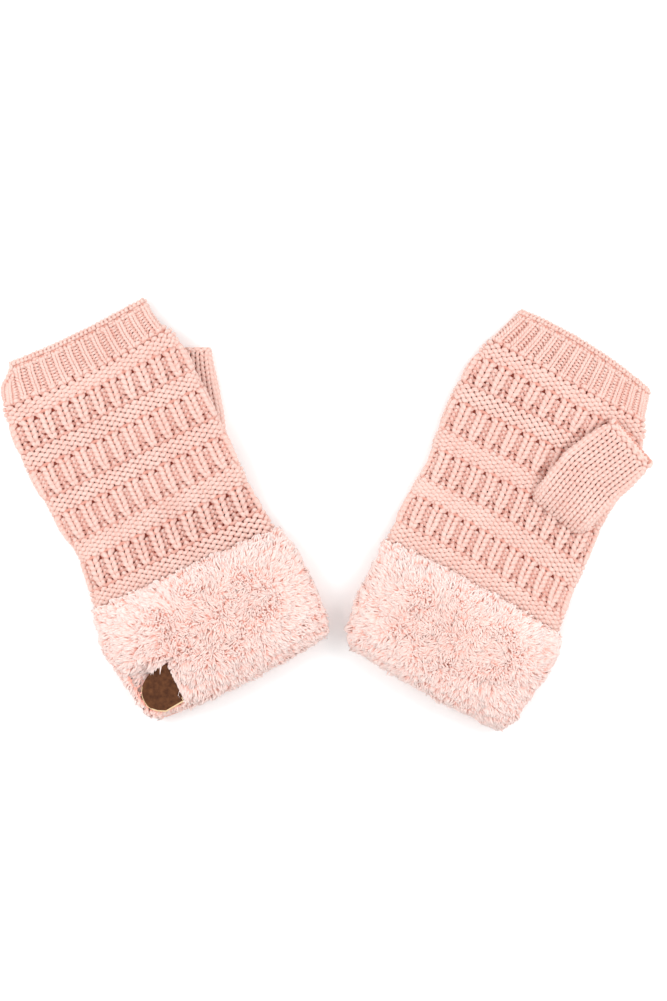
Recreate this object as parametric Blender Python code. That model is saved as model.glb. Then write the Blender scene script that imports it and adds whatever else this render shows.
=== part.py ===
"""Pair of fingerless knitted gloves with plush cuffs, laid flat side by side.

Each glove is a flattened tube of banded knit (ribs between purl bands), with a ribbed
finger edge, a plain knitted thumb tube and a thick plush cuff that takes in the end of
the knit. The left glove shows the back of the hand and lies on its own thumb; the right
glove shows the palm, with the thumb on top. X runs to the right and Y towards the
fingers in the view from above, Z is up, and the origin is on the floor under the middle
of the pair. Tables are in millimetres in each glove's own plan: x across, y along it.
"""

import math
from collections import namedtuple

import bmesh
import bpy
from mathutils import Matrix, Vector

MM = 0.001
SEAM_GAP = 0.3  # between pieces that are sewn or knitted together

# Knit cloth: a pressed tube, two walls thick, with rounded folds at its sides.
WALL = 3.2
HOLLOW = 1.0
TUBE_THICK = 2 * WALL + HOLLOW
RIBS_ACROSS = 11.2  # knit columns on one face, from fold to fold
RIB_HEIGHT = 1.5  # of a knit column over the purl column beside it
PURL_CROWN = 0.5  # a purl band swells by this at its middle
BAND_EDGE = 1.6  # a rib band falls to the purl level over this length
FINGER_RIB_HEIGHT = 1.1
FINGER_RIBS_ACROSS = 12.2
RIM_ROUND = 0.9  # rounding of a free edge
CROWN_SHARE = 0.24  # half a knit column's flat top, as a share of the rib pitch

# Thumb: a plain knitted tube, narrower than the hand's own knit.
THUMB_WALL = 2.9
THUMB_HOLLOW = 0.9
THUMB_THICK = 2 * THUMB_WALL + THUMB_HOLLOW

# Plush cuff, with its pile: thicker above than below, where it is pressed by the floor.
CUFF_MID = 0.42  # height of a cuff's widest line, as a share of its thickness
CUFF_HOLLOW = 1.6
KNIT_RISE = 4.6  # the knit lies this much above the floor where it enters the cuff
RISE_LENGTH = 26.0

LABEL_THICK = 1.6

Glove = namedtuple("Glove", "name centre_x centre_y turn hand finger sides cuff troughs thumb drift")
# A row across a tube: its y at the left fold, the middle and the right fold.
Row = namedtuple("Row", "left middle right")
Side = namedtuple("Side", "y left right")
EdgeRow = namedtuple("EdgeRow", "row left right droop relief")
# square: 0 for a full round section, 1 where it is pressed square round the knit.
CuffRow = namedtuple("CuffRow", "row left right thick square")
# A soft hollow in the plush: its middle, half sizes, depth and the turn of its long side.
Trough = namedtuple("Trough", "x y half_long half_wide depth turn")
# A station on the thumb: the middle of its section, its width and the way it points.
Station = namedtuple("Station", "x y width heading")

DROOP_START = -35.0  # left of this x the left glove's finger edge turns down round the fold
LIFT_SLOPE = 34.0  # the left hand comes down beside the thumb under it over this length
THUMB_FOOT_REACH = 9.0  # a thumb's foot starts this far behind its first station
FOOT_MARGIN = 4.0

# Each hand is four rib bands between five purl bands. These rows, from the finger ribbing
# to the wrist, bound them.
LEFT_HAND = [
    Row(79.2, 76.0, 78.6),
    Row(67.9, 66.3, 66.9),
    Row(52.7, 52.4, 52.7),
    Row(40.7, 40.4, 41.2),
    Row(25.1, 25.1, 25.1),
    Row(13.4, 13.1, 13.4),
    Row(-2.1, -2.1, -2.1),
    Row(-15.0, -15.0, -15.0),
    Row(-30.0, -30.0, -30.0),
    Row(-44.0, -45.0, -47.0),
]
RIGHT_HAND = [
    Row(80.2, 77.5, 74.4),
    Row(68.5, 66.9, 63.7),
    Row(53.8, 53.5, 51.9),
    Row(41.7, 41.5, 40.7),
    Row(26.0, 26.0, 24.0),
    Row(13.9, 13.4, 10.7),
    Row(-2.1, -3.2, -8.6),
    Row(-13.4, -15.8, -23.0),
    Row(-29.4, -31.0, -37.5),
    Row(-45.5, -46.5, -52.5),
]
LEFT_SIDES = [
    Side(76, -47.8, 47.6),
    Side(71, -49.8, 51.0),
    Side(60, -50.8, 51.6),
    Side(47, -52.2, 52.4),
    Side(33, -51.2, 51.6),
    Side(19, -50.5, 52.4),
    Side(6, -49.6, 51.2),
    Side(-9, -47.4, 51.6),
    Side(-22, -48.4, 50.6),
    Side(-37, -51.4, 53.2),
    Side(-46, -49.6, 51.6),
]
RIGHT_SIDES = [
    Side(77.5, -44.9, 47.3),
    Side(69, -48.2, 51.2),
    Side(60, -49.8, 52.0),
    Side(47, -51.9, 52.4),
    Side(33, -50.2, 51.4),
    Side(19, -50.2, 50.6),
    Side(6, -47.2, 50.0),
    Side(-8, -49.7, 51.8),
    Side(-21, -49.6, 50.6),
    Side(-38, -50.6, 53.0),
    Side(-48, -48.8, 51.6),
]
# Finger ribbing, from the hand to the free edge.
LEFT_FINGER = [
    EdgeRow(Row(79.2, 76.0, 78.6), -47.8, 47.6, 0.0, 0.0),
    EdgeRow(Row(81.0, 77.8, 80.4), -47.4, 46.8, 0.0, 1.0),
    EdgeRow(Row(88.5, 85.4, 88.0), -46.6, 45.4, 3.5, 1.0),
    EdgeRow(Row(95.0, 92.0, 93.8), -45.4, 44.9, 8.5, 0.9),
    EdgeRow(Row(96.6, 93.4, 95.2), -45.1, 44.8, 9.8, 0.2),
    EdgeRow(Row(98.6, 95.8, 97.3), -44.8, 44.9, 11.0, 0.6),
]
RIGHT_FINGER = [
    EdgeRow(Row(80.2, 77.5, 74.4), -44.9, 47.3, 0.0, 0.0),
    EdgeRow(Row(82.0, 79.4, 76.0), -44.2, 47.0, 0.0, 1.0),
    EdgeRow(Row(89.8, 87.0, 81.6), -41.1, 45.7, 0.0, 1.0),
    EdgeRow(Row(96.2, 94.2, 86.6), -38.6, 44.4, 0.0, 0.9),
    EdgeRow(Row(97.4, 95.6, 87.8), -38.3, 44.1, 0.0, 0.2),
    EdgeRow(Row(99.6, 98.0, 89.8), -37.9, 43.7, 0.0, 0.6),
]
LEFT_CUFF = [
    CuffRow(Row(-39.6, -40.7, -42.8), -53.0, 55.0, 12.6, 1.0),
    CuffRow(Row(-42.0, -43.2, -45.3), -53.8, 56.0, 17.0, 0.5),
    CuffRow(Row(-48.5, -49.5, -51.0), -55.2, 57.6, 21.5, 0.0),
    CuffRow(Row(-57.0, -57.5, -58.5), -57.4, 58.9, 24.0, 0.0),
    CuffRow(Row(-67.0, -67.3, -67.8), -57.5, 59.3, 24.6, 0.0),
    CuffRow(Row(-77.0, -77.2, -77.4), -55.8, 59.2, 24.2, 0.0),
    CuffRow(Row(-81.4, -81.6, -81.7), -54.8, 59.0, 23.8, 0.0),
    CuffRow(Row(-85.5, -85.8, -85.8), -53.9, 58.7, 23.2, 0.0),
    CuffRow(Row(-94.0, -95.0, -94.0), -53.4, 58.2, 21.6, 0.0),
    CuffRow(Row(-101.0, -102.6, -101.0), -52.0, 57.0, 18.6, 0.0),
    CuffRow(Row(-105.8, -107.8, -105.2), -49.4, 54.8, 14.2, 0.0),
    CuffRow(Row(-108.2, -110.2, -107.0), -46.4, 52.0, 9.6, 0.0),
]
RIGHT_CUFF = [
    CuffRow(Row(-41.2, -42.3, -48.2), -52.4, 55.4, 12.6, 1.0),
    CuffRow(Row(-43.6, -44.8, -50.5), -52.8, 56.4, 17.0, 0.5),
    CuffRow(Row(-50.0, -51.2, -55.2), -51.6, 57.6, 21.5, 0.0),
    CuffRow(Row(-58.0, -59.0, -61.0), -51.8, 58.6, 24.0, 0.0),
    CuffRow(Row(-67.0, -67.6, -68.5), -52.0, 57.4, 24.6, 0.0),
    CuffRow(Row(-76.0, -76.6, -77.4), -52.0, 56.2, 24.2, 0.0),
    CuffRow(Row(-84.0, -85.6, -86.4), -51.6, 54.8, 23.2, 0.0),
    CuffRow(Row(-91.0, -94.2, -95.2), -49.8, 53.4, 21.6, 0.0),
    CuffRow(Row(-97.0, -101.0, -102.2), -47.6, 51.2, 18.6, 0.0),
    CuffRow(Row(-100.6, -105.0, -106.4), -45.0, 48.6, 14.2, 0.0),
    CuffRow(Row(-102.0, -106.8, -108.2), -42.0, 45.4, 9.6, 0.0),
]
LEFT_TROUGHS = [
    Trough(-27.0, -74.0, 12.0, 5.0, 1.6, 35.0),
    Trough(20.0, -78.0, 26.0, 6.0, 1.2, -12.0),
]
RIGHT_TROUGHS = [
    Trough(3.0, -74.0, 5.0, 30.0, 1.8, 8.0),
    Trough(-28.0, -82.0, 22.0, 5.0, 1.2, -20.0),
    Trough(32.0, -88.0, 20.0, 5.0, 1.1, 14.0),
]
LEFT_THUMB = [
    Station(33.6, 12.6, 36.5, 6.0),
    Station(35.0, 20.0, 37.5, 8.0),
    Station(38.4, 31.0, 37.5, 12.0),
    Station(42.6, 45.0, 36.5, 16.0),
    Station(47.0, 57.4, 34.0, 21.0),
    Station(50.4, 65.2, 32.0, 26.0),
]
RIGHT_THUMB = [
    Station(28.0, 16.0, 36.0, 14.0),
    Station(30.2, 24.5, 37.0, 15.0),
    Station(33.4, 35.5, 37.8, 19.0),
    Station(38.8, 46.6, 37.0, 24.0),
    Station(42.8, 54.6, 34.6, 25.0),
    Station(46.4, 62.0, 32.2, 25.0),
]
GLOVES = [
    Glove("left", -95.5, 6.7, 26.0, LEFT_HAND, LEFT_FINGER, LEFT_SIDES, LEFT_CUFF,
          LEFT_TROUGHS, LEFT_THUMB, 4.0),
    Glove("right", 94.4, 1.3, -25.0, RIGHT_HAND, RIGHT_FINGER, RIGHT_SIDES, RIGHT_CUFF,
          RIGHT_TROUGHS, RIGHT_THUMB, 0.0),
]
# Leather label, sewn by its top and right side into the left cuff's pile.
LABEL_LEFT, LABEL_RIGHT = -49.4, -29.6
LABEL_TOP, LABEL_BOTTOM = -82.4, -106.0
LABEL_TILT = 1.6  # the bottom edge rises by this towards the right
LABEL_ROUND = 9.5  # the left side bows by this at its ends
# It lies in a pocket of the pile, on a seat that falls a little to the left and the wrist.
SEAT_X, SEAT_Y, SEAT_HEIGHT = -39.5, -94.0, 14.0
SEAT_FALL_LEFT, SEAT_FALL_WRIST = 0.16, 0.10
POCKET_STEEPNESS = 0.9


def smooth(t):
    """0 to 1 with flat ends."""
    t = min(max(t, 0.0), 1.0)
    return t * t * (3 - 2 * t)


def between(a, b, share):
    return a + (b - a) * share


def row_y(row, share):
    """y of a row at a share of the way across, on the parabola through its three places."""
    return (
        row.left * (1 - share) * (1 - 2 * share)
        + row.middle * 4 * share * (1 - share)
        + row.right * share * (2 * share - 1)
    )


def shifted(row, step):
    return Row(row.left + step, row.middle + step, row.right + step)


def mixed(a, b, share):
    return Row(*(between(p, q, share) for p, q in zip(a, b)))


def side_at(sides, y):
    """x of the left and the right fold at y."""
    if y >= sides[0].y:
        return sides[0].left, sides[0].right
    for above, below in zip(sides, sides[1:]):
        if y >= below.y:
            share = (above.y - y) / (above.y - below.y)
            return (
                between(above.left, below.left, share),
                between(above.right, below.right, share),
            )
    return sides[-1].left, sides[-1].right


def pressed_section(width, thick, along, under):
    """A point of a pressed tube's section and the way out of the cloth there.

    along is a length on the cloth from the middle of its upper or under face towards the
    right fold. The section is flat with half-round folds and stands on z = 0.
    """
    radius = thick / 2
    flat = width / 2 - radius
    if abs(along) <= flat:
        x, out_x, out_z = abs(along), 0.0, 1.0
    else:
        angle = min((abs(along) - flat) / radius, math.pi / 2)
        out_x, out_z = math.sin(angle), math.cos(angle)
        x = flat + radius * out_x
    if along < 0:
        x, out_x = -x, -out_x
    if under:
        out_z = -out_z
    return x, radius + radius * out_z, out_x, out_z


def half_round(width, thick):
    """Length on the cloth from the middle of a face to the fold's outermost line."""
    return width / 2 - thick / 2 + math.pi / 2 * thick / 2


def even_point(width, thick, share, under):
    """A section point by share: to 1 on the flat face, and from 1 to 2 round the fold."""
    flat = width / 2 - thick / 2
    if abs(share) <= 1:
        along = share * flat
    else:
        along = math.copysign(flat + (abs(share) - 1) * math.pi / 2 * thick / 2, share)
    return pressed_section(width, thick, along, under)


def rib_columns(ribs):
    """Places round the upper face, fold to fold, as (sigma, height share)."""
    pitch = 2 / ribs
    half = int(ribs / 2)
    columns = [(-1.0, 1.0)]
    for j in range(-half, half + 1):
        for place, height in (
            (j - 0.5 + CROWN_SHARE, 1.0),
            (j, 0.0),
            (j + 0.5 - CROWN_SHARE, 1.0),
        ):
            if abs(place * pitch) < 0.985:
                columns.append((place * pitch, height))
    columns.append((1.0, 1.0))
    return columns


UNDER_COLUMNS = [(s, 0.35 if abs(s) > 0.97 else 0.0) for s in
                 (0.975, 0.955, 0.93, 0.62, 0.31, 0.0, -0.31, -0.62, -0.93, -0.955, -0.975)]
# Places of a plain ring's points, as even_point takes them: over the top, then back below.
PLAIN_TOP = [-2.0, -1.67, -1.33, -1.0, -0.67, -0.33, 0.0, 0.33, 0.67, 1.0, 1.33, 1.67, 2.0]
PLAIN_UNDER = [1.67, 1.33, 1.0, 0.33, -0.33, -1.0, -1.33, -1.67]
PLAIN_PLACES = [(share, False) for share in PLAIN_TOP] + [(share, True) for share in PLAIN_UNDER]


def thumb_distance(glove, x, y):
    """How far a place lies outside the thumb's plan, at most."""
    nearest = math.inf
    segments = list(zip(glove.thumb, glove.thumb[1:]))
    for k, (a, b) in enumerate(segments):
        length = math.hypot(b.x - a.x, b.y - a.y)
        ahead_x, ahead_y = (b.x - a.x) / length, (b.y - a.y) / length
        along = (x - a.x) * ahead_x + (y - a.y) * ahead_y
        beside = abs((x - a.x) * ahead_y - (y - a.y) * ahead_x)
        width = between(a.width, b.width, min(max(along / length, 0.0), 1.0))
        behind = -along - (THUMB_FOOT_REACH + FOOT_MARGIN if k == 0 else 0.0)
        nearest = min(nearest, max(beside - width / 2, behind, along - length))
    return nearest


def lift(glove, x, y):
    """Height of the hand's underside over the floor."""
    rise = KNIT_RISE * smooth((-18.0 - y) / RISE_LENGTH)
    if glove.name == "left":
        away = thumb_distance(glove, x, y)
        over_thumb = THUMB_THICK + SEAM_GAP + 0.6
        rise = max(rise, over_thumb * smooth(1 - away / LIFT_SLOPE))
    return rise


def cloth_point(glove, row, middle, width, section, raised, droop):
    """A section point set on its row, raised out of the cloth and lifted off the floor."""
    x, z, out_x, out_z = section
    share = x / width + 0.5
    x = middle + x + out_x * raised
    y = row_y(row, share)
    if x < DROOP_START:
        beyond = (DROOP_START - x) / (DROOP_START - middle + width / 2)
        y -= droop * min(beyond, 1.0) ** 0.7
    return Vector((x, y, max(z + out_z * raised, 0.0) + lift(glove, x, y)))


def ribbed_ring(glove, row, left, right, columns, relief, droop=0.0, drift=0.0):
    """A ring of a knit tube's outside: ribbed over the top, plain below."""
    ring = []
    width, middle = right - left, (left + right) / 2
    reach = half_round(width, TUBE_THICK)
    places = [(s, h, False) for s, h in columns] + [(s, h, True) for s, h in UNDER_COLUMNS]
    for sigma, height, under in places:
        along = sigma * reach + drift * (1 - sigma * sigma)
        section = pressed_section(width, TUBE_THICK, along, under)
        ring.append(cloth_point(glove, row, middle, width, section, relief * height, droop))
    return ring


def plain_ring(glove, row, left, right, inset, thick, rise, droop=0.0):
    """A plain ring set in from the folds, standing on a height above the underside."""
    width, middle = right - left, (left + right) / 2
    ring = []
    for share, under in PLAIN_PLACES:
        section = even_point(width - 2 * inset, thick, share, under)
        point = cloth_point(glove, row, middle, width, section, 0.0, droop)
        ring.append(point + Vector((0, 0, rise)))
    return ring


def inner_ring(glove, row, left, right, droop=0.0):
    return plain_ring(glove, row, left, right, WALL, HOLLOW, WALL, droop)


def shares_round(ring):
    lengths = [(b - a).length for a, b in zip(ring, ring[1:] + ring[:1])]
    total = sum(lengths)
    shares, run = [0.0], 0.0
    for length in lengths:
        run += length / total
        shares.append(run)
    return shares


def join_ends(mesh, outer, inner):
    """Closes the end of a wall between two rings that may differ in number of points."""
    outer_share = shares_round([v.co for v in outer])
    inner_share = shares_round([v.co for v in inner])
    i = j = 0
    while i < len(outer) or j < len(inner):
        a, b = outer[i % len(outer)], inner[j % len(inner)]
        if j == len(inner) or (i < len(outer) and outer_share[i + 1] <= inner_share[j + 1]):
            mesh.faces.new((a, b, outer[(i + 1) % len(outer)]))
            i += 1
        else:
            mesh.faces.new((a, b, inner[(j + 1) % len(inner)]))
            j += 1


def join_rings(mesh, rings):
    for first, second in zip(rings, rings[1:]):
        count = len(first)
        for i in range(count):
            k = (i + 1) % count
            mesh.faces.new((first[i], first[k], second[k], second[i]))


def wall_tube(name, outer, inner, material, place):
    """A tube wall from the rings of its outside and of its inside, end to end."""
    mesh = bmesh.new()
    outer = [[mesh.verts.new(point) for point in ring] for ring in outer]
    inner = [[mesh.verts.new(point) for point in ring] for ring in inner]
    join_rings(mesh, outer)
    join_rings(mesh, inner)
    join_ends(mesh, outer[0], inner[0])
    join_ends(mesh, outer[-1], inner[-1])
    return finish(name, mesh, material, place)


def finish(name, mesh, material, place):
    bmesh.ops.transform(mesh, matrix=place @ Matrix.Scale(MM, 4), verts=mesh.verts)
    bmesh.ops.recalc_face_normals(mesh, faces=mesh.faces)
    data = bpy.data.meshes.new(name)
    mesh.to_mesh(data)
    mesh.free()
    data.materials.append(material)
    data.shade_smooth()
    data.set_sharp_from_angle(angle=math.radians(50))
    piece = bpy.data.objects.new(name, data)
    bpy.context.scene.collection.objects.link(piece)
    return piece


def cloth_material(name, colour, roughness):
    material = bpy.data.materials.new(name)
    material.use_nodes = True
    shader = material.node_tree.nodes["Principled BSDF"]
    shader.inputs["Base Color"].default_value = (*colour, 1.0)
    shader.inputs["Roughness"].default_value = roughness
    shader.inputs["Metallic"].default_value = 0.0
    return material


def make_hand(glove, material, place):
    """Banded knit, from the finger ribbing to its end inside the cuff."""
    columns = rib_columns(RIBS_ACROSS)
    rows = []
    for k, (top, bottom) in enumerate(zip(glove.hand, glove.hand[1:])):
        if k % 2:
            rows.append((top, 0.0))
            rows.append((shifted(top, -BAND_EDGE), RIB_HEIGHT))
            rows.append((shifted(bottom, BAND_EDGE), RIB_HEIGHT))
        else:
            start = shifted(top, -SEAM_GAP / 2) if k == 0 else top
            rows.append((start, 0.0))
            rows.append((mixed(top, bottom, 0.5), PURL_CROWN))
    rows.append((glove.hand[-1], 0.0))
    outer, inner = [], []
    wrist, fingers = glove.hand[-1].middle, glove.hand[0].middle
    for k, (row, relief) in enumerate(rows):
        left, right = side_at(glove.sides, row.middle)
        drift = glove.drift * between(-1, 1, (row.middle - wrist) / (fingers - wrist))
        flat = relief == PURL_CROWN
        across = [(s, 1.0) for s, h in columns] if flat else columns
        outer.append(ribbed_ring(glove, row, left, right, across, relief, 0.0, drift))
        if k % 2 == 0 or k == len(rows) - 1:
            inner.append(inner_ring(glove, row, left, right))
    return wall_tube(glove.name + "_hand", outer, inner, material, place)


def make_finger_rib(glove, material, place):
    """Ribbing at the finger opening, with its rounded free edge."""
    columns = rib_columns(FINGER_RIBS_ACROSS)
    outer, inner = [], []
    for k, edge in enumerate(glove.finger):
        row = shifted(edge.row, SEAM_GAP / 2) if k == 0 else edge.row
        relief = FINGER_RIB_HEIGHT * edge.relief
        outer.append(ribbed_ring(glove, row, edge.left, edge.right, columns, relief, edge.droop))
        if k % 2 == 0:
            inner.append(inner_ring(glove, row, edge.left, edge.right, edge.droop))
    rim = shifted(glove.finger[-1].row, RIM_ROUND)
    edge = glove.finger[-1]
    outer.append(ribbed_ring(glove, rim, edge.left + RIM_ROUND, edge.right - RIM_ROUND,
                             columns, -RIM_ROUND, edge.droop))
    inner.append(inner_ring(glove, rim, edge.left, edge.right, edge.droop))
    return wall_tube(glove.name + "_finger_rib", outer, inner, material, place)


# The thumb's foot: how far its outer and its palm side start behind the first station,
# and how far the outer side has come away from the palm, as a share of its thickness.
Foot = namedtuple("Foot", "outer palm height")
THUMB_FOOT = [
    Foot(-THUMB_FOOT_REACH, 5.0, 0.0),
    Foot(-6.0, 5.5, 0.45),
    Foot(0.0, 6.0, 0.85),
]


def thumb_ring(middle, across, up, wall):
    """A pressed ring in the plane of its half width and half height vectors."""
    half_wide, half_high = across.length - wall, up.length - wall
    ring = []
    for share, under in PLAIN_PLACES:
        x, z, _, _ = even_point(2 * half_wide, 2 * half_high, share, under)
        ring.append(middle + across.normalized() * x + up.normalized() * (z - half_high))
    return ring


def make_thumb(glove, material, place):
    """Plain knitted thumb: its foot sits on the palm and it lies along the hand."""
    palm_side = 1 if glove.name == "left" else -1
    stations = glove.thumb
    rest = 0.0 if glove.name == "left" else TUBE_THICK + RIB_HEIGHT + SEAM_GAP
    middle_z = rest + THUMB_THICK / 2
    outer, inner = [], []
    first = stations[0]
    for k, foot in enumerate(THUMB_FOOT):
        turn = math.radians(first.heading)
        ahead = Vector((math.sin(turn), math.cos(turn), 0))
        across = Vector((math.cos(turn), -math.sin(turn), 0)) * first.width / 2
        start = Vector((first.x, first.y, middle_z))
        palm = start + ahead * foot.palm + Vector((0, 0, palm_side * THUMB_THICK / 2))
        reach = palm_side * THUMB_THICK * (0.5 - foot.height)
        away = start + ahead * foot.outer + Vector((0, 0, reach))
        up = (palm - away) / 2 * palm_side
        middle = (palm + away) / 2
        outer.append(thumb_ring(middle, across, up, 0.0))
        inner.append(thumb_ring(middle, across, up, THUMB_WALL))
    for station in stations[1:]:
        turn = math.radians(station.heading)
        across = Vector((math.cos(turn), -math.sin(turn), 0)) * station.width / 2
        up = Vector((0, 0, THUMB_THICK / 2))
        middle = Vector((station.x, station.y, middle_z))
        outer.append(thumb_ring(middle, across, up, 0.0))
        inner.append(thumb_ring(middle, across, up, THUMB_WALL))
    last = stations[-1]
    turn = math.radians(last.heading)
    ahead = Vector((math.sin(turn), math.cos(turn), 0)) * RIM_ROUND
    tip = thumb_ring(middle + ahead, across, up, RIM_ROUND)
    outer.append(tip)
    inner[-1] = [point + ahead for point in inner[-1]]
    return wall_tube(glove.name + "_thumb", outer, inner, material, place)


CUFF_TOP_POINTS = 26
CUFF_UNDER_POINTS = 12


def dent(troughs, x, y):
    """Depth of the plush's soft hollows at a place."""
    depth = 0.0
    for trough in troughs:
        turn = math.radians(trough.turn)
        dx, dy = x - trough.x, y - trough.y
        along = (dx * math.cos(turn) + dy * math.sin(turn)) / trough.half_long
        beside = (dy * math.cos(turn) - dx * math.sin(turn)) / trough.half_wide
        depth = max(depth, trough.depth * smooth(1.25 - math.hypot(along, beside)))
    return depth


def pocket(x, y):
    """Most height that the plush has under and round the label."""
    outside_x = max(LABEL_LEFT - x, x - LABEL_RIGHT, 0.0)
    outside_y = max(LABEL_BOTTOM - y, y - LABEL_TOP, 0.0)
    seat = SEAT_HEIGHT + SEAT_FALL_LEFT * (x - SEAT_X) + SEAT_FALL_WRIST * (y - SEAT_Y)
    return seat + POCKET_STEEPNESS * math.hypot(outside_x, outside_y)


def cuff_ring(glove, cuff_row):
    """A ring of the plush's outer face: full above, pressed flat below."""
    ring = []
    width, middle = cuff_row.right - cuff_row.left, (cuff_row.left + cuff_row.right) / 2
    widest = cuff_row.thick * CUFF_MID
    thickest = max(row.thick for row in glove.cuff)
    raised = (thickest - cuff_row.thick) / thickest * KNIT_RISE * 0.9
    angles = [math.pi - math.pi * k / CUFF_TOP_POINTS for k in range(CUFF_TOP_POINTS + 1)]
    angles += [-math.pi * k / CUFF_UNDER_POINTS for k in range(1, CUFF_UNDER_POINTS)]
    for angle in angles:
        c, s = math.cos(angle), math.sin(angle)
        if s >= -1e-9:
            x = math.copysign(abs(c) ** between(0.62, 0.34, cuff_row.square), c)
            bend = between(0.72, 0.45, cuff_row.square)
            z = widest + (cuff_row.thick - widest) * max(s, 0.0) ** bend
        else:
            x = math.copysign(abs(c) ** 0.5, c)
            z = max(widest - widest * 1.12 * (-s) ** 0.6, 0.0)
        share = x / 2 + 0.5
        x = middle + x * width / 2
        y = row_y(cuff_row.row, share)
        if s > 0:
            z -= dent(glove.troughs, x, y) * min(1.0, s * 3)
            if glove.name == "left":
                z = min(z, pocket(x, y))
        ring.append(Vector((x, y, z + raised)))
    return ring


def make_cuff(glove, material, place):
    """Plush cuff, whose mouth takes in the end of the knit."""
    outer = [cuff_ring(glove, row) for row in glove.cuff]
    inner = []
    knit_end = shifted(glove.hand[-1], -SEAM_GAP)
    mouth = glove.cuff[0].row
    grown = 2 * SEAM_GAP + 2 * PURL_CROWN
    for row in (mouth, knit_end):
        left, right = side_at(glove.sides, row.middle)
        inner.append(plain_ring(glove, row, left, right, -grown / 2, TUBE_THICK + grown,
                                -grown / 2))
    narrow_left, narrow_right = left + WALL, right - WALL
    floor_level = KNIT_RISE + TUBE_THICK / 2 - CUFF_HOLLOW / 2
    wrist = glove.cuff[-1]
    for share in (0.0, 0.4, 0.8, 1.0):
        row = mixed(shifted(knit_end, -0.05), wrist.row, share)
        ease = smooth(share)
        left = between(narrow_left, wrist.left + 4.5, ease)
        right = between(narrow_right, wrist.right - 4.5, ease)
        width, middle = right - left, (left + right) / 2
        ring = []
        for place_share, under in PLAIN_PLACES:
            x, z, _, _ = even_point(width, CUFF_HOLLOW, place_share, under)
            y = row_y(row, x / width + 0.5)
            ring.append(Vector((middle + x, y, floor_level + z)))
        inner.append(ring)
    return wall_tube(glove.name + "_cuff", outer, inner, material, place)


LABEL_STEPS_X = 8
LABEL_STEPS_Y = 9
LABEL_CLEAR = 0.45


def make_label(cuff, material, place):
    """Blank leather label: a tab whose points lie just above the plush."""
    top, under = [], []
    into_plan = place.inverted()
    for j in range(LABEL_STEPS_Y + 1):
        down = j / LABEL_STEPS_Y
        bow = LABEL_ROUND * abs(2 * down - 1.05) ** 2.6
        left = LABEL_LEFT + bow
        for i in range(LABEL_STEPS_X + 1):
            x = between(left, LABEL_RIGHT, i / LABEL_STEPS_X)
            bottom = LABEL_BOTTOM + LABEL_TILT * (x - LABEL_LEFT) / (LABEL_RIGHT - LABEL_LEFT)
            y = between(LABEL_TOP, bottom, down)
            above = place @ (Vector((x, y, 60.0)) * MM)
            hit, where, _, _ = cuff.ray_cast(above, Vector((0, 0, -1)))
            height = (into_plan @ where).z / MM
            under.append(Vector((x, y, height + LABEL_CLEAR)))
            top.append(Vector((x, y, height + LABEL_CLEAR + LABEL_THICK)))
    mesh = bmesh.new()
    sheets = [[mesh.verts.new(point) for point in sheet] for sheet in (top, under)]
    wide = LABEL_STEPS_X + 1
    for sheet in sheets:
        for j in range(LABEL_STEPS_Y):
            for i in range(LABEL_STEPS_X):
                a = j * wide + i
                mesh.faces.new((sheet[a], sheet[a + 1], sheet[a + 1 + wide], sheet[a + wide]))
    last = LABEL_STEPS_Y * wide
    edge = list(range(LABEL_STEPS_X))
    edge += [LABEL_STEPS_X + wide * j for j in range(LABEL_STEPS_Y)]
    edge += [last + i for i in range(LABEL_STEPS_X, 0, -1)]
    edge += [wide * j for j in range(LABEL_STEPS_Y, 0, -1)]
    for a, b in zip(edge, edge[1:] + edge[:1]):
        mesh.faces.new((sheets[0][a], sheets[0][b], sheets[1][b], sheets[1][a]))
    return finish("left_label", mesh, material, place)


def centre_on_floor(pieces):
    """Moves the pair so that the origin is under the middle of its box."""
    corners = [v.co for piece in pieces for v in piece.data.vertices]
    low = [min(c[axis] for c in corners) for axis in range(3)]
    high = [max(c[axis] for c in corners) for axis in range(3)]
    step = Vector((-(low[0] + high[0]) / 2, -(low[1] + high[1]) / 2, -low[2]))
    for piece in pieces:
        piece.data.transform(Matrix.Translation(step))


def build():
    for old in list(bpy.data.objects):
        bpy.data.objects.remove(old)
    knit = cloth_material("rose knit", (0.89, 0.55, 0.48), 0.95)
    plush = cloth_material("blush plush", (0.94, 0.68, 0.61), 1.0)
    leather = cloth_material("brown leather", (0.14, 0.06, 0.027), 0.55)
    pieces = []
    for glove in GLOVES:
        place = Matrix.Translation(Vector((glove.centre_x, glove.centre_y, 0)) * MM)
        place @= Matrix.Rotation(math.radians(glove.turn), 4, "Z")
        pieces.append(make_hand(glove, knit, place))
        pieces.append(make_finger_rib(glove, knit, place))
        pieces.append(make_thumb(glove, knit, place))
        cuff = make_cuff(glove, plush, place)
        pieces.append(cuff)
        if glove.name == "left":
            bpy.context.view_layer.update()
            pieces.append(make_label(cuff, leather, place))
    centre_on_floor(pieces)


build()
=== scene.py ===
"""Pair of fingerless knitted gloves with plush cuffs, laid flat: how they look.

The yarn is real: every course of loops is one length of yarn, bent round its neighbours
on the form of its solid. The plush is real too: separate locks stand on a backing.
Tables are in millimetres in each glove's own plan, x across it and y towards the fingers.
"""

from collections import namedtuple
from math import atan2, cos, hypot, pi, radians, sin

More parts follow.
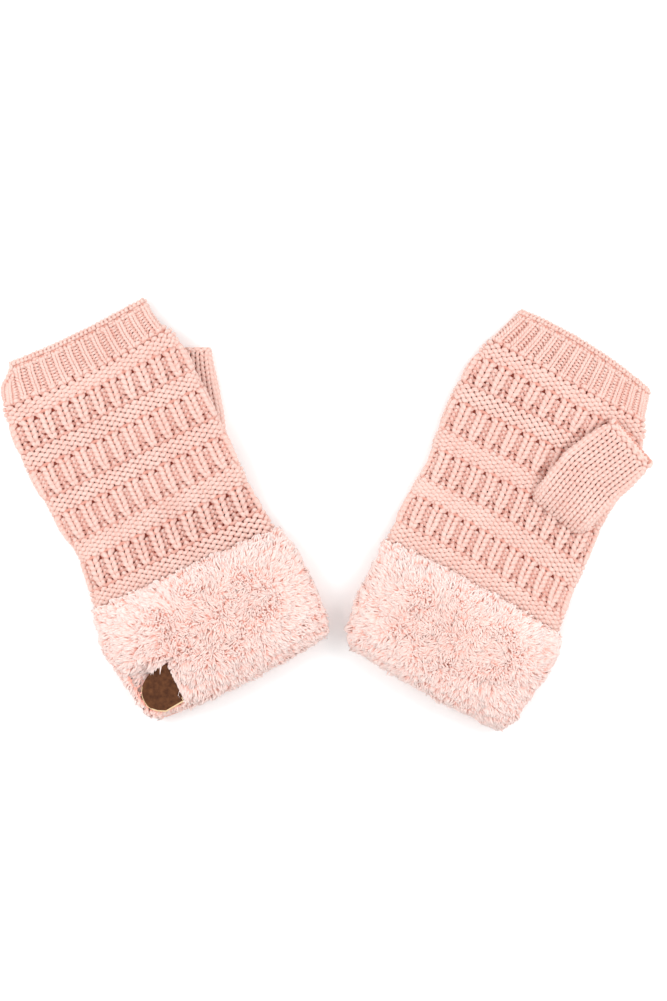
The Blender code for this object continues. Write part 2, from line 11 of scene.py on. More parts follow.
import bmesh
import bpy
import numpy as np
from numpy.linalg import norm
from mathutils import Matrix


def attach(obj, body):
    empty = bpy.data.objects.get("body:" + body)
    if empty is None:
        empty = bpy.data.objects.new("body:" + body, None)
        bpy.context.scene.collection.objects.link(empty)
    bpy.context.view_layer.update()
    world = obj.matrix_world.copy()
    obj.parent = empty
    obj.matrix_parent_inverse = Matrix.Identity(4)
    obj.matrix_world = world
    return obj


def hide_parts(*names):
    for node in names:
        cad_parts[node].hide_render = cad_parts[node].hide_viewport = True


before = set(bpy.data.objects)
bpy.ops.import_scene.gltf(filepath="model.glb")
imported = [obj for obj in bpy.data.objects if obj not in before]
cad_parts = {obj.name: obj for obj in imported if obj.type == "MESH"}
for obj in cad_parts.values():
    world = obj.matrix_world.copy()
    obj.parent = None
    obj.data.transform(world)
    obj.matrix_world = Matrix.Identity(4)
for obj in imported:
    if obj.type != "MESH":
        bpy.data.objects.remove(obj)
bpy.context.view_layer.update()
bpy.ops.object.select_all(action="DESELECT")

# The two gloves lie as their solids do: the left one turned to the left, back of the hand
# up, and the right one turned to the right, palm up.
MM = 0.001
PAIR_SHIFT_X, PAIR_SHIFT_Y = 1.2596, 0.8694  # puts the middle of the pair's box at the origin
Glove = namedtuple("Glove", "side centre_x centre_y turn drift")
LEFT = Glove("left", -95.5, 6.7, 26.0, 4.0)
RIGHT = Glove("right", 94.4, 1.3, -25.0, 0.0)


def on_table(glove, x, y, z):
    """Points of a glove's own plan as world points in metres."""
    turn = radians(glove.turn)
    return MM * np.stack([
        glove.centre_x + PAIR_SHIFT_X + x * cos(turn) - y * sin(turn),
        glove.centre_y + PAIR_SHIFT_Y + x * sin(turn) + y * cos(turn),
        z,
    ], axis=-1)


def smooth(t):
    """0 to 1 with flat ends."""
    t = np.clip(t, 0.0, 1.0)
    return t * t * (3 - 2 * t)


# Hands: a tube of heavy yarn about 2 mm thick, knitted in the round, four 1x1 rib bands
# between five purl bands. It lies pressed flat, two walls thick, with round folds.
WALL = 3.2
TUBE_THICK = 2 * WALL + 1.0  # the two walls lie 1 mm apart
THUMB_THICK = 6.7
KNIT_RISE, RISE_FROM, RISE_LENGTH = 4.6, -18.0, 26.0  # the knit climbs to enter the cuff
THUMB_ROOM = 0.9  # between the left thumb and the hand that lies on it
LIFT_SLOPE = 34.0  # beside its thumb the left hand comes down to the table over this
THUMB_FOOT_REACH = 9.0  # how far a thumb's outer side begins behind its first station
CREASE, CREASE_WIDE = 2.2, 5.0  # the right palm sinks beside its thumb
DROOP_FROM = -35.0  # beyond this the left finger edge hangs down to its corner


def tables(columns, *each):
    """Tables with named columns."""
    kind = namedtuple("Row", columns)
    return [[kind(*row) for row in rows] for rows in each]


# Rows across a tube, by their y at the left fold, the middle and the right fold: the
# bounds of the bands from the finger ribbing to the wrist.
LEFT_ROWS, RIGHT_ROWS = tables("left middle right", (
    (79.2, 76.0, 78.6), (67.9, 66.3, 66.9), (52.7, 52.4, 52.7), (40.7, 40.4, 41.2),
    (25.1, 25.1, 25.1), (13.4, 13.1, 13.4), (-2.1, -2.1, -2.1), (-15.0, -15.0, -15.0),
    (-30.0, -30.0, -30.0), (-44.0, -45.0, -47.0),
), (
    (80.2, 77.5, 74.4), (68.5, 66.9, 63.7), (53.8, 53.5, 51.9), (41.7, 41.5, 40.7),
    (26.0, 26.0, 24.0), (13.9, 13.4, 10.7), (-2.1, -3.2, -8.6), (-13.4, -15.8, -23.0),
    (-29.4, -31.0, -37.5), (-45.5, -46.5, -52.5),
))
# Places of the left and the right fold along the hand.
LEFT_SIDES, RIGHT_SIDES = tables("y left right", (
    (76, -47.8, 47.6), (71, -49.8, 51.0), (60, -50.8, 51.6), (47, -52.2, 52.4),
    (33, -51.2, 51.6), (19, -50.5, 52.4), (6, -49.6, 51.2), (-9, -47.4, 51.6),
    (-22, -48.4, 50.6), (-37, -51.4, 53.2), (-46, -49.6, 51.6),
), (
    (77.5, -44.9, 47.3), (69, -48.2, 51.2), (60, -49.8, 52.0), (47, -51.9, 52.4),
    (33, -50.2, 51.4), (19, -50.2, 50.6), (6, -47.2, 50.0), (-8, -49.7, 51.8),
    (-21, -49.6, 50.6), (-38, -50.6, 53.0), (-48, -48.8, 51.6),
))
# Stations along a thumb: the middle of its section, its width and the way it points.
LEFT_THUMB, RIGHT_THUMB = tables("x y width heading", (
    (33.6, 12.6, 36.5, 6.0), (35.0, 20.0, 37.5, 8.0), (38.4, 31.0, 37.5, 12.0),
    (42.6, 45.0, 36.5, 16.0), (47.0, 57.4, 34.0, 21.0), (50.4, 65.2, 32.0, 26.0),
), (
    (28.0, 16.0, 36.0, 14.0), (30.2, 24.5, 37.0, 15.0), (33.4, 35.5, 37.8, 19.0),
    (38.8, 46.6, 37.0, 24.0), (42.8, 54.6, 34.6, 25.0), (46.4, 62.0, 32.2, 25.0),
))
# A pressed tube's values at even steps along it. A place along it, a knot, counts its rows.
Tube = namedtuple("Tube", "left_y middle_y right_y fold_left fold_right droop")
HAND_STEP = 0.25  # of a knot


def hand_tube(rows, sides):
    knots = np.arange(0, len(rows) - 0.9, HAND_STEP)
    left, middle, right = (np.interp(knots, range(len(rows)), column) for column in zip(*rows))
    places, lefts, rights = (np.array(column)[::-1] for column in zip(*sides))
    return Tube(left, middle, right, np.interp(middle, places, lefts),
                np.interp(middle, places, rights), np.zeros(len(knots)))


def bowed(share, left, middle, right):
    """A value that bows across a tube, by those at the left fold, the middle and the right."""
    return (left * (1 - share) * (1 - 2 * share) + middle * 4 * share * (1 - share)
            + right * share * (2 * share - 1))


def half_across(station):
    """From a thumb's middle to its right side, at a station."""
    turn = radians(station.heading)
    return np.array([cos(turn), -sin(turn), 0]) * station.width / 2


def lift(glove, x, y):
    """Height of a hand's underside: over the table, the left thumb and towards the cuff."""
    rise = KNIT_RISE * smooth((RISE_FROM - y) / RISE_LENGTH)
    if glove is not LEFT:
        return rise
    nearest = np.full(np.shape(x), 1e9)
    behind_first = THUMB_FOOT_REACH + 4.0
    for a, b in zip(LEFT_THUMB, LEFT_THUMB[1:]):
        length = hypot(b.x - a.x, b.y - a.y)
        ahead_x, ahead_y = (b.x - a.x) / length, (b.y - a.y) / length
        along = (x - a.x) * ahead_x + (y - a.y) * ahead_y
        beside = np.abs((x - a.x) * ahead_y - (y - a.y) * ahead_x)
        width = a.width + (b.width - a.width) * np.clip(along / length, 0, 1)
        behind = -along - (behind_first if a is LEFT_THUMB[0] else 0.0)
        outside = np.maximum(np.maximum(beside - width / 2, behind), along - length)
        nearest = np.minimum(nearest, outside)
    return np.maximum(rise, (THUMB_THICK + THUMB_ROOM) * smooth(1 - nearest / LIFT_SLOPE))


def crease(glove, x, y):
    """How far the right palm's upper wall sinks along its thumb's left side."""
    if glove is LEFT:
        return 0.0
    side_x, side_y = np.array([(s.x, s.y) - half_across(s)[:2] for s in RIGHT_THUMB]).T
    beside = np.abs(np.interp(y, side_y, side_x) - x)
    ends = smooth((y - side_y[0] + 4) / 12) * smooth((side_y[-1] + 2 - y) / 8)
    return CREASE * smooth(1 - beside / CREASE_WIDE) * ends


def pressed(width, thick, along):
    """A pressed section by a length on its cloth from the middle of the top: x, z, way out."""
    radius = thick / 2
    flat = width / 2 - radius
    reach = np.abs(along)
    angle = np.clip((reach - flat) / radius, 0, pi)
    under = np.maximum(reach - flat - pi * radius, 0)
    x = np.minimum(reach, flat) + radius * np.sin(angle) - under
    sign = np.where(along < 0, -1.0, 1.0)
    return sign * x, radius + radius * np.cos(angle), sign * np.sin(angle), np.cos(angle)


def lay_on(glove, tube, step, knot, along, ahead, out, floor=0.0):
    """World points on a tube: a knot along it, a length round it, and steps ahead and out."""
    at = range(len(tube.left_y))
    left_y, middle_y, right_y, fold_left, fold_right, droop = (
        np.interp(knot / step, at, values) for values in tube)
    gaps = [np.interp(knot / step, at, np.gradient(values)) for values in tube[:3]]
    width, middle = fold_right - fold_left, (fold_left + fold_right) / 2
    x, z, out_x, out_z = pressed(width, TUBE_THICK, along)
    share = x / width + 0.5
    y = bowed(share, left_y, middle_y, right_y) + ahead * bowed(share, *gaps) / gaps[1]
    x = middle + x + out_x * out
    beyond = np.clip((DROOP_FROM - x) / (DROOP_FROM - fold_left), 0, 1)
    y = y - droop * beyond ** 0.7
    z = np.maximum(z + out_z * out, floor) - crease(glove, x, y) * np.maximum(out_z, 0)
    return on_table(glove, x, y, z + lift(glove, x, y))


FOLD_MORE = (pi / 4 - 0.5) * TUBE_THICK  # cloth on a round fold, beyond half its width


def half_round(tube, knot):
    """Length of the cloth from a tube's middle to the side of a fold."""
    halves = (tube.fold_right - tube.fold_left) / 2
    return np.interp(knot, range(len(halves)), halves) + FOLD_MORE


def link_piece(name, data):
    piece = bpy.data.objects.new(name, data)
    bpy.context.scene.collection.objects.link(piece)
    bpy.ops.object.select_all(action="DESELECT")
    piece.select_set(True)
    bpy.context.view_layer.objects.active = piece
    return piece


def tube_wall(name, outer, inner, patterned):
    """A closed wall from two grids of points, rows by places round; UV in stitches."""
    rows, round_ = outer.shape[:2]
    points = np.concatenate([outer.reshape(-1, 3), inner.reshape(-1, 3)])
    j, i = np.meshgrid(np.arange(rows - 1), np.arange(round_), indexing="ij")
    a, b = j * round_ + i, j * round_ + (i + 1) % round_
    quads = np.stack([a, b, b + round_, a + round_], -1).reshape(-1, 4)
    inside = quads[:, ::-1] + rows * round_
    i = np.arange(round_)
    k = (i + 1) % round_
    first = np.stack([i, i + rows * round_, k + rows * round_, k], -1)
    last = (first + (rows - 1) * round_)[:, ::-1]
    faces = np.concatenate([quads, inside, first, last])
    data = bpy.data.meshes.new(name)
    data.from_pydata(points.tolist(), [], faces.tolist())
    pattern = data.uv_layers.new(name="Stitches")
    corners = np.empty(len(data.loops), dtype=int)
    data.loops.foreach_get("vertex_index", corners)
    place = np.concatenate([patterned.reshape(-1, 2)] * 2)[corners]
    pattern.data.foreach_set("uv", place.ravel())
    piece = link_piece(name, data)
    bpy.ops.object.mode_set(mode="EDIT")
    bpy.ops.mesh.select_all(action="SELECT")
    bpy.ops.mesh.normals_make_consistent(inside=False)
    bpy.ops.object.mode_set(mode="OBJECT")
    bpy.ops.object.shade_smooth()
    return piece


STEPS = 12  # points of yarn in one loop
YARN = 2.1
PLY_TURN = 4.2  # length of yarn in which its two plies turn once
LOOP_OVERLAP = 0.85 * YARN  # a loop is this much taller than its course
LOOP_DEPTH = 0.8  # of a loop's legs before its head, or behind it on a purl stitch
RIB_DEPTH = 0.6  # of that, on a rib's knit stitches, which are drawn flat
CROWN = 0.3  # a plain loop's crown stands this far out of the solid's face
KNIT_PINCH, PURL_PINCH = 0.19, 0.15  # how far a loop's neck is drawn in, of its width
UNEVEN = 0.10  # how far loops stray


def course(edges, faces, crowns, tall, fat, rng):
    """One course of loops, left to right: lengths round the tube, ahead, out, deepness that the
    yarn's colour paints as shade, girth.

    faces is 1 for a knit stitch and -1 for a purl one; crowns is how far each stands out
    and fat how much thicker than the yarn its legs look, where they spread. Each is one
    value, or one for each stitch.
    """
    count = len(edges) - 1
    faces, crowns, fat = (np.broadcast_to(values, count) for values in (faces, crowns, fat))
    at = np.arange(count * STEPS + 1)
    k = np.minimum(at // STEPS, count - 1)
    phase = at / STEPS - k
    swell = np.sin(pi * phase)
    stray_along, stray_ahead, stray_out = rng.normal(0, UNEVEN, (3, count))

    def shared(values, own):
        """Each stitch's value, which passes to its neighbour's at its sides."""
        beside = np.pad(values, 1, mode="edge")
        beside = np.where(phase < 0.5, beside[k], beside[k + 2])
        return values[k] * own + (values[k] + beside) / 2 * (1 - own)

    rib_knit = (faces[k] > 0) & (faces.min() < 0)
    pinch = np.where(faces > 0, KNIT_PINCH, PURL_PINCH)[k]
    along = edges[k] + np.diff(edges)[k] * (phase + pinch * np.sin(4 * pi * phase))
    along = along + stray_along[k] * swell
    ahead = -(tall + LOOP_OVERLAP) / 2 * np.cos(2 * pi * phase) + stray_ahead[k] * swell
    face = shared(faces, smooth(np.minimum(phase, 1 - phase) / 0.2))
    front = -face * np.cos(4 * pi * phase)
    depth = LOOP_DEPTH * np.where(rib_knit, RIB_DEPTH, 1.0)
    out = shared(crowns, swell ** 0.7) + depth * front + 0.5 * stray_out[k] * swell
    leg = smooth((front * np.sign(face) - 0.1) / 0.8) if np.all(faces > 0) else smooth(front)
    leg = np.where(rib_knit, smooth(front * 0.8 + 0.5), leg)
    girth = 1 + (fat[k] - 1) * leg
    return along, ahead, out, (1 - front) / 2, girth


EYE_PUSH, EYE_WIDE, EYE_TALL = 1.05, 1.4, 2.0  # holes where a purl band ends over a purl column
EYE_DROP = 1.2  # how far under a rib band's top they are
SLIT_PUSH, SLIT_WIDE, SLIT_TALL, SLIT_LEAN = 1.1, 1.3, 3.0, 0.28  # gaps where a rib ends
SLIT_RISE = 1.8  # how far over the band's end they are
SINK, SINK_WIDE, SINK_TALL = 1.5, 0.8, 1.9  # the yarn that crosses a slit passes behind it


def open_gaps(along, down, eyes, eyes_down, slits, slits_down):
    """Yarn drawn aside, down and in at the eyes over a rib band and the slits under it."""
    side = along[:, None] - eyes
    fall = down[:, None] - eyes_down
    push = EYE_PUSH * np.exp(-(side / EYE_WIDE) ** 2 - (fall / EYE_TALL) ** 2)
    away = np.maximum(np.hypot(side, fall), 0.2)
    shift, drop = np.sum(push * side / away, axis=1), np.sum(push * fall / away, axis=1)
    fall = down[:, None] - slits_down
    side = along[:, None] - slits + SLIT_LEAN * fall
    push = SLIT_PUSH * np.exp(-(side / SLIT_WIDE) ** 2 - (fall / SLIT_TALL) ** 2)
    sink = SINK * np.exp(-(side / SINK_WIDE) ** 2 - (fall / SINK_TALL) ** 4)
    return shift + np.sum(push * np.tanh(side / 0.3), axis=1), drop, np.max(sink, axis=1)


def give_values(data, name, values):
    """A value for each point of a mesh, by the name that its material reads."""
    data.attributes.new(name, "FLOAT", "POINT").data.foreach_set("value", values)


RING = 6  # points round the yarn, as a bevel of resolution 1 gives


def spin(name, yarns, thickness):
    """Round yarns, each a line with its deepness, painted as shade, and girth: curves with a bevel,
    made a mesh.
    """
    data = bpy.data.curves.new(name, "CURVE")
    data.dimensions = "3D"
    data.bevel_depth = thickness / 2 * MM
    data.bevel_resolution = 1
    turns = []
    for line, _, girth in yarns:
        spline = data.splines.new("POLY")
        spline.points.add(len(line) - 1)
        spline.points.foreach_set("radius", girth)
        spline.points.foreach_set("co", np.column_stack([line, np.ones(len(line))]).ravel())
        steps = norm(np.diff(line, axis=0), axis=1)
        turns.append(np.append(0, np.cumsum(steps)) / (PLY_TURN * MM))
    link_piece(name, data)
    bpy.ops.object.convert(target="MESH")
    piece = bpy.context.object
    painted_shade = np.concatenate([yarn[1] for yarn in yarns])
    # painted shade: how deep each point lies in the knit, which the yarn's colour darkens
    give_values(piece.data, "painted_shade", np.repeat(painted_shade, RING))
    turns = np.add.outer(np.concatenate(turns), np.arange(RING) / RING).ravel()
    give_values(piece.data, "ply", np.cos(4 * pi * turns))
    form = bmesh.new()
    form.from_mesh(piece.data)
    bmesh.ops.holes_fill(form, edges=[edge for edge in form.edges if edge.is_boundary], sides=0)
    form.to_mesh(piece.data)
    form.free()
    bpy.ops.object.shade_smooth()
    piece.data.materials.append(yarn_material)
    return piece


def linear(colour):
    """sRGB hex to linear."""
    parts = (int(colour[k:k + 2], 16) / 255 for k in (1, 3, 5))
    return (*(p / 12.92 if p <= 0.04045 else ((p + 0.055) / 1.055) ** 2.4 for p in parts), 1)


def add_node(tree, kind, settings=(), **links):
    """A node with its settings, and inputs that are values or other nodes' outputs."""
    node = tree.nodes.new(kind)
    for setting, value in dict(settings).items():
        setattr(node, setting, value)
    for name, value in links.items():
        key = int(name[1:]) if name[0] == "i" and name[1:].isdigit() else name.replace("_", " ")
        if isinstance(value, bpy.types.NodeSocket):
            tree.links.new(value, node.inputs[key])
        else:
            node.inputs[key].default_value = value
    return node


def start_material(name, roughness, **inputs):
    """A material, its nodes and its shader, with the inputs set by name."""
    material = bpy.data.materials.new(name)
    material.use_nodes = True
    tree = material.node_tree
    shader = tree.nodes["Principled BSDF"]
    shader.inputs["Roughness"].default_value = roughness
    for socket, value in inputs.items():
        shader.inputs[socket.replace("_", " ")].default_value = value
    return material, tree, shader


def add_attribute(tree, name):
    return add_node(tree, "ShaderNodeAttribute", {"attribute_name": name}).outputs["Fac"]


def add_math(tree, operation, *values):
    inputs = {f"i{k}": value for k, value in enumerate(values)}
    return add_node(tree, "ShaderNodeMath", {"operation": operation}, **inputs).outputs[0]


def add_ramp(tree, share, *colours, places=(0.0, 1.0)):
    ramp = add_node(tree, "ShaderNodeValToRGB", Fac=share)
    for stop, place, colour in zip(ramp.color_ramp.elements, places, colours):
        stop.position = place
        stop.color = linear(colour)
    return ramp.outputs["Color"]


def add_bump(tree, height, strength, distance, **links):
    return add_node(tree, "ShaderNodeBump", Height=height, Strength=strength,
                    Distance=distance, **links).outputs["Normal"]


def give_shader(tree, shader, colour, normal):
    tree.links.new(colour, shader.inputs["Base Color"])
    tree.links.new(normal, shader.inputs["Normal"])


# Rose acrylic-and-wool yarn: soft and dull, with a fine halo that lights up at grazing angles.
# Its colour carries painted shade: darker where the yarn lies deeper in the knit, behind its
# neighbours, than on its crowns. Its two plies wind round each other, and the groove between
# them is painted darker as shade.
yarn_material, tree, shader = start_material(
    "rose wool yarn", 0.92, Sheen_Weight=0.35, Sheen_Roughness=0.6, Sheen_Tint=linear("#ffe9e0"))
place = add_node(tree, "ShaderNodeTexCoord").outputs["Object"]
blotch = add_node(tree, "ShaderNodeTexNoise", Vector=place, Scale=90.0, Detail=2.0)
fibre = add_node(tree, "ShaderNodeTexNoise", Vector=place, Scale=2200.0, Detail=2.0)
ply = add_attribute(tree, "ply")
# painted shade: yarn lying deeper in the knit, and the groove between the plies, is painted darker
shade = add_math(tree, "MULTIPLY_ADD", blotch.outputs["Fac"], 0.5, add_attribute(tree, "painted_shade"))
shade = add_math(tree, "MULTIPLY_ADD", ply, -0.16, shade)
tint = add_ramp(tree, shade, "#ebccc2", "#da9a8a", places=(0.2, 1.0))
bump = add_bump(tree, fibre.outputs["Fac"], 0.25, 0.0003)
give_shader(tree, shader, tint, add_bump(tree, ply, 0.5, 0.0002, Normal=bump))

# The knit seen between and behind the loops, and on the side that lies on the table: the
# same yarn, painted a dark red where the loops cover it, as painted shade of the holes and
# gaps between them, and pale where they don't, with the purl bumps of the inside as a bump.
ground_material, tree, shader = start_material("rose knit ground", 0.95)
place = add_node(tree, "ShaderNodeUVMap", {"uv_map": "Stitches"})
axes = add_node(tree, "ShaderNodeSeparateXYZ", Vector=place.outputs["UV"])
across, along = (
    add_math(tree, "SINE", add_math(tree, "MULTIPLY", axes.outputs[axis], 2 * pi))
    for axis in "XY")
# painted shade: dark where the loops cover the ground, where under is 0, and pale elsewhere
tint = add_ramp(tree, add_attribute(tree, "under"), "#9a4d3e", "#fbdcd1")
loops = add_math(tree, "MULTIPLY", across, along)
give_shader(tree, shader, tint, add_bump(tree, loops, 0.5, 0.0007))


def knit_ground(node, loops, outer, inner, pattern, covered):
    """The wall under some loops, in place of their solid; covered is 1 behind the loops, where the
    ground is painted dark as shade.
    """
    ground = tube_wall(f"{node}_ground", outer, inner, pattern)
    # painted shade: under is 0 where the loops cover the outer wall, which is then painted dark
    give_values(ground.data, "under", np.append(1 - covered.ravel(), np.ones(covered.size)))
    ground.data.materials.append(ground_material)
    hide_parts(node)
    for piece in (ground, loops):
        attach(piece, "root")
    return ground


GROUND_DEPTH = 1.9  # the ground lies this far behind the loops' crowns
ROUND_POINTS = 72


def finish_knit(node, glove, tube, step, rows, stitch, courses, loops):
    """The ground under a pressed tube's loops, and the cut of the cloth that they make."""
    knots = np.linspace(0, (len(tube.left_y) - 1) * step, rows)
    half = half_round(tube, knots / step)
    turn = np.arange(ROUND_POINTS) / ROUND_POINTS * 2 - 1
    along = turn[None, :] * 2 * half[:, None]
    covered = 1 - smooth((np.abs(along) / half[:, None] - 1.02) / 0.08)
    knot = np.broadcast_to(knots[:, None], along.shape)
    pattern = np.stack([along / stitch, knot * courses], -1)
    outer = lay_on(glove, tube, step, knot, along, 0.0, -GROUND_DEPTH * covered)
    inner = lay_on(glove, tube, step, knot, along, 0.0, -WALL)
    ground = knit_ground(node, loops, outer, inner, pattern, covered)


RIBS_ACROSS = 11.2
COURSE = 2.75  # height of a course
RIB_HEIGHT, RIB_END_HEIGHT = 1.5, 1.125  # of a rib's crowns, and in its first and last course
RIB_SPREAD, RIB_END_SPREAD = 0.085, 0.051  # a knit column's edges move out, of a rib's pitch
RIB_FAT, RIB_END_FAT = (1.35, 1.1), (1.2, 0.8)  # girth of knit and purl legs, of the yarn's
RIB_VALLEY = -0.5  # crown of the purl stitches between the ribs
PURL_CROWN, PURL_FAT = 0.5, 1.28
pitch = 2 / RIBS_ACROSS  # of a rib, as a share of the way from the middle to a fold
eyes = np.arange(-6, 7) * pitch
slits = np.arange(-12, 12)
slits = (slits + 0.5) * pitch / 2 + np.where(slits % 2, 1, -1) * RIB_END_SPREAD * pitch
knit = np.arange(-12, 13) % 2 != 0
for glove, rows, sides in ((LEFT, LEFT_ROWS, LEFT_SIDES), (RIGHT, RIGHT_ROWS, RIGHT_SIDES)):
    tube = hand_tube(rows, sides)
    rng = np.random.default_rng(11 if glove is LEFT else 12)
    reach = np.mean(tube.fold_right - tube.fold_left) / 2 + FOLD_MORE
    yarns = []
    for band in range(len(rows) - 1):
        ribbed = band % 2 == 1
        height = rows[band].middle - rows[band + 1].middle
        courses = round(height / COURSE)
        for n in range(courses):
            knot = band + (n + 0.5) / courses
            edges = (np.arange(-13, 13) + 0.5) * pitch / 2
            if ribbed:
                last = n == courses - 1  # the last course of a rib is looser, and its gaps show
                spread = (RIB_END_SPREAD if last else RIB_SPREAD) * pitch
                edges = edges + np.where(np.append(~knit[0], knit), 1, -1) * spread
                rib_height = RIB_END_HEIGHT if last or n == 0 else RIB_HEIGHT
                crowns = np.where(knit, rib_height, RIB_VALLEY)
                fat = np.where(knit, *(RIB_END_FAT if last else RIB_FAT))
            else:
                crowns = PURL_CROWN * sin(pi * (n + 0.5) / courses)
                fat = PURL_FAT
            faces = np.where(knit & ribbed, 1.0, -1.0)
            along, ahead, out, painted_shade, girth = course(edges * reach, faces, crowns,
                                                    height / courses, fat, rng)
            down = np.interp(knot, range(len(rows)), [row.middle for row in rows]) + ahead
            if ribbed or n in (0, courses - 1):
                # The rib band that this course is in or next to.
                top = min(max(band + (0 if ribbed else 1 if n else -1), 1), len(rows) - 3)
                shift, drop, sink = open_gaps(along, down, eyes * reach, rows[top].middle - EYE_DROP,
                                              slits * reach, rows[top + 1].middle + SLIT_RISE)
                along, ahead, out = along + shift, ahead + drop, out - sink
            wrist = 1 - 2 * knot / (len(rows) - 1)
            along = along + glove.drift * wrist * (1 - np.clip(along / reach, -1, 1) ** 2)
            out = out + CROWN - LOOP_DEPTH - YARN / 2
            line = lay_on(glove, tube, HAND_STEP, np.full(len(along), knot), along, ahead, out,
                          YARN / 2 * girth)
            yarns.append((line, painted_shade, girth))
    loops = spin(f"{glove.side}_hand_loops", yarns, YARN)
    finish_knit(f"{glove.side}_hand", glove, tube, HAND_STEP, 49, pitch / 2 * reach, 4.5, loops)

# Finger edges: 1x1 ribbing knitted on to the hand, closer and flatter than the hand's own
# ribs, then a plain course and the cast-on, which rolls over the edge.
LEFT_EDGE, RIGHT_EDGE = tables("left_y middle_y right_y fold_left fold_right droop", (
    (79.2, 76.0, 78.6, -47.8, 47.6, 0.0), (81.0, 77.8, 80.4, -47.4, 46.8, 0.0),
    (88.5, 85.4, 88.0, -46.6, 45.4, 3.5), (95.0, 92.0, 93.8, -45.4, 44.9, 8.5),
    (96.6, 93.4, 95.2, -45.1, 44.8, 9.8), (98.6, 95.8, 97.3, -44.8, 44.9, 11.0),
), (
    (80.2, 77.5, 74.4, -44.9, 47.3, 0.0), (82.0, 79.4, 76.0, -44.2, 47.0, 0.0),
    (89.8, 87.0, 81.6, -41.1, 45.7, 0.0), (96.2, 94.2, 86.6, -38.6, 44.4, 0.0),
    (97.4, 95.6, 87.8, -38.3, 44.1, 0.0), (99.6, 98.0, 89.8, -37.9, 43.7, 0.0),
))
FINGER_RIBS_ACROSS, FINGER_RIB_COURSES = 12.2, 10
FINGER_YARN, FINGER_COURSE = 1.5, 1.5
FINGER_RIB_HEIGHT, FINGER_RIB_SPREAD = 1.1, 0.02
RIM_DOWN = np.array([1.9, 0.6])  # how far under the edge the last two courses lie
RIM_STITCHES = 76  # in those, which go all the way round
RIM_CROWN, RIM_FAT, RIM_ROLL = 0.4, 1.45, 0.9
finger_pitch = 2 / FINGER_RIBS_ACROSS
knit = np.arange(-14, 15) % 2 != 0
rib_edges = (np.arange(-15, 15) + 0.5) / 2
rib_edges -= np.where(np.append(~knit[0], knit), 1, -1) * FINGER_RIB_SPREAD
rib_edges *= finger_pitch
# The ribs slide round the folds by this towards the edge: at the left fold, at the right.
for glove, edge_rows, slides in ((LEFT, LEFT_EDGE, (4.7, 0.0)), (RIGHT, RIGHT_EDGE, (2.0, -1.5))):
    tube = Tube(*(np.array(column) for column in zip(*edge_rows)))
    rng = np.random.default_rng(21 if glove is LEFT else 22)
    yarns = []
    foot, edge = tube.middle_y[0], tube.middle_y[-1]
    levels = np.append(np.linspace(foot + 0.9, edge - 3.5, FINGER_RIB_COURSES), edge - RIM_DOWN)
    at = range(len(edge_rows))
    knots = np.interp(levels, tube.middle_y, at)
    for n, knot in enumerate(knots):
        reach = half_round(tube, knot)
        if n < FINGER_RIB_COURSES:
            crowns, edges = np.where(knit, FINGER_RIB_HEIGHT, 0.0), rib_edges * reach
            faces, fat = np.where(knit, 1.0, -1.0), np.where(knit, 1.1, 1.0)
        else:
            edges = (np.arange(RIM_STITCHES + 1) / RIM_STITCHES * 4 - 2) * reach
            crowns, faces, fat = RIM_CROWN, -1.0, RIM_FAT
        along, ahead, out, painted_shade, girth = course(edges, faces, crowns, FINGER_COURSE, fat, rng)
        share = along / reach
        slide = np.where(share < 0, slides[0], slides[1]) * np.clip(np.abs(share), 0, 1) ** 1.5
        along = along + slide * knot / at[-1]
        out = out + CROWN - LOOP_DEPTH - YARN / 2 - (RIM_ROLL if n == len(knots) - 1 else 0.0)
        line = lay_on(glove, tube, 1.0, np.full(len(along), knot), along, ahead, out,
                      YARN / 2 * girth)
        yarns.append((line, painted_shade, girth))
    loops = spin(f"{glove.side}_finger_loops", yarns, FINGER_YARN)
    finish_knit(f"{glove.side}_finger_rib", glove, tube, 1.0, 13, finger_pitch / 2 * reach, 2,
                loops)

# Thumbs: plain stockinette tubes picked up round the thumb hole. Each is pressed flat like
# the hand, and its foot rises out of the palm.
THUMB_WALL = 2.9
THUMB_STITCH, THUMB_COURSE = 4.8, 2.8
THUMB_YARN = 0.95 * YARN
THUMB_CROWN = 0.25
THUMB_FOOT = tables("outer palm height", (
    (-THUMB_FOOT_REACH, 5.0, 0.0), (-6.0, 5.5, 0.45), (0.0, 6.0, 0.85),
))[0]
ThumbForm = namedtuple("ThumbForm", "reached middle across up")


def thumb_form(stations, palm_side, rest):
    """A thumb's sections, by how far along its upper face each one is."""
    first = stations[0]
    turn = radians(first.heading)
    ahead = np.array([sin(turn), cos(turn), 0])
    start = np.array([first.x, first.y, rest + THUMB_THICK / 2])
    middles, acrosses, ups = [], [], []
    for foot in THUMB_FOOT:
        palm = start + ahead * foot.palm + [0, 0, palm_side * THUMB_THICK / 2]
        reach = palm_side * THUMB_THICK * (0.5 - foot.height)
        away = start + ahead * foot.outer + [0, 0, reach]
        middles.append((palm + away) / 2)
        acrosses.append(half_across(first))
        ups.append((palm - away) / 2 * palm_side)
    for station in stations[1:]:
        middles.append([station.x, station.y, rest + THUMB_THICK / 2])
        acrosses.append(half_across(station))
        ups.append([0, 0, THUMB_THICK / 2])
    middle, across, up = np.array(middles), np.array(acrosses), np.array(ups)
    steps = norm(np.diff(middle + up, axis=0), axis=1)
    return ThumbForm(np.append(0, np.cumsum(steps)), middle, across, up)


def unit(ways, least=1e-9):
    """Ways of length 1; those shorter than the least stay under it."""
    return ways / np.maximum(norm(ways, axis=-1, keepdims=True), least)


def lay_down(glove, points, floor=0.0):
    """World points from points in one array, none of them below the floor."""
    return on_table(glove, points[..., 0], points[..., 1], np.maximum(points[..., 2], floor))


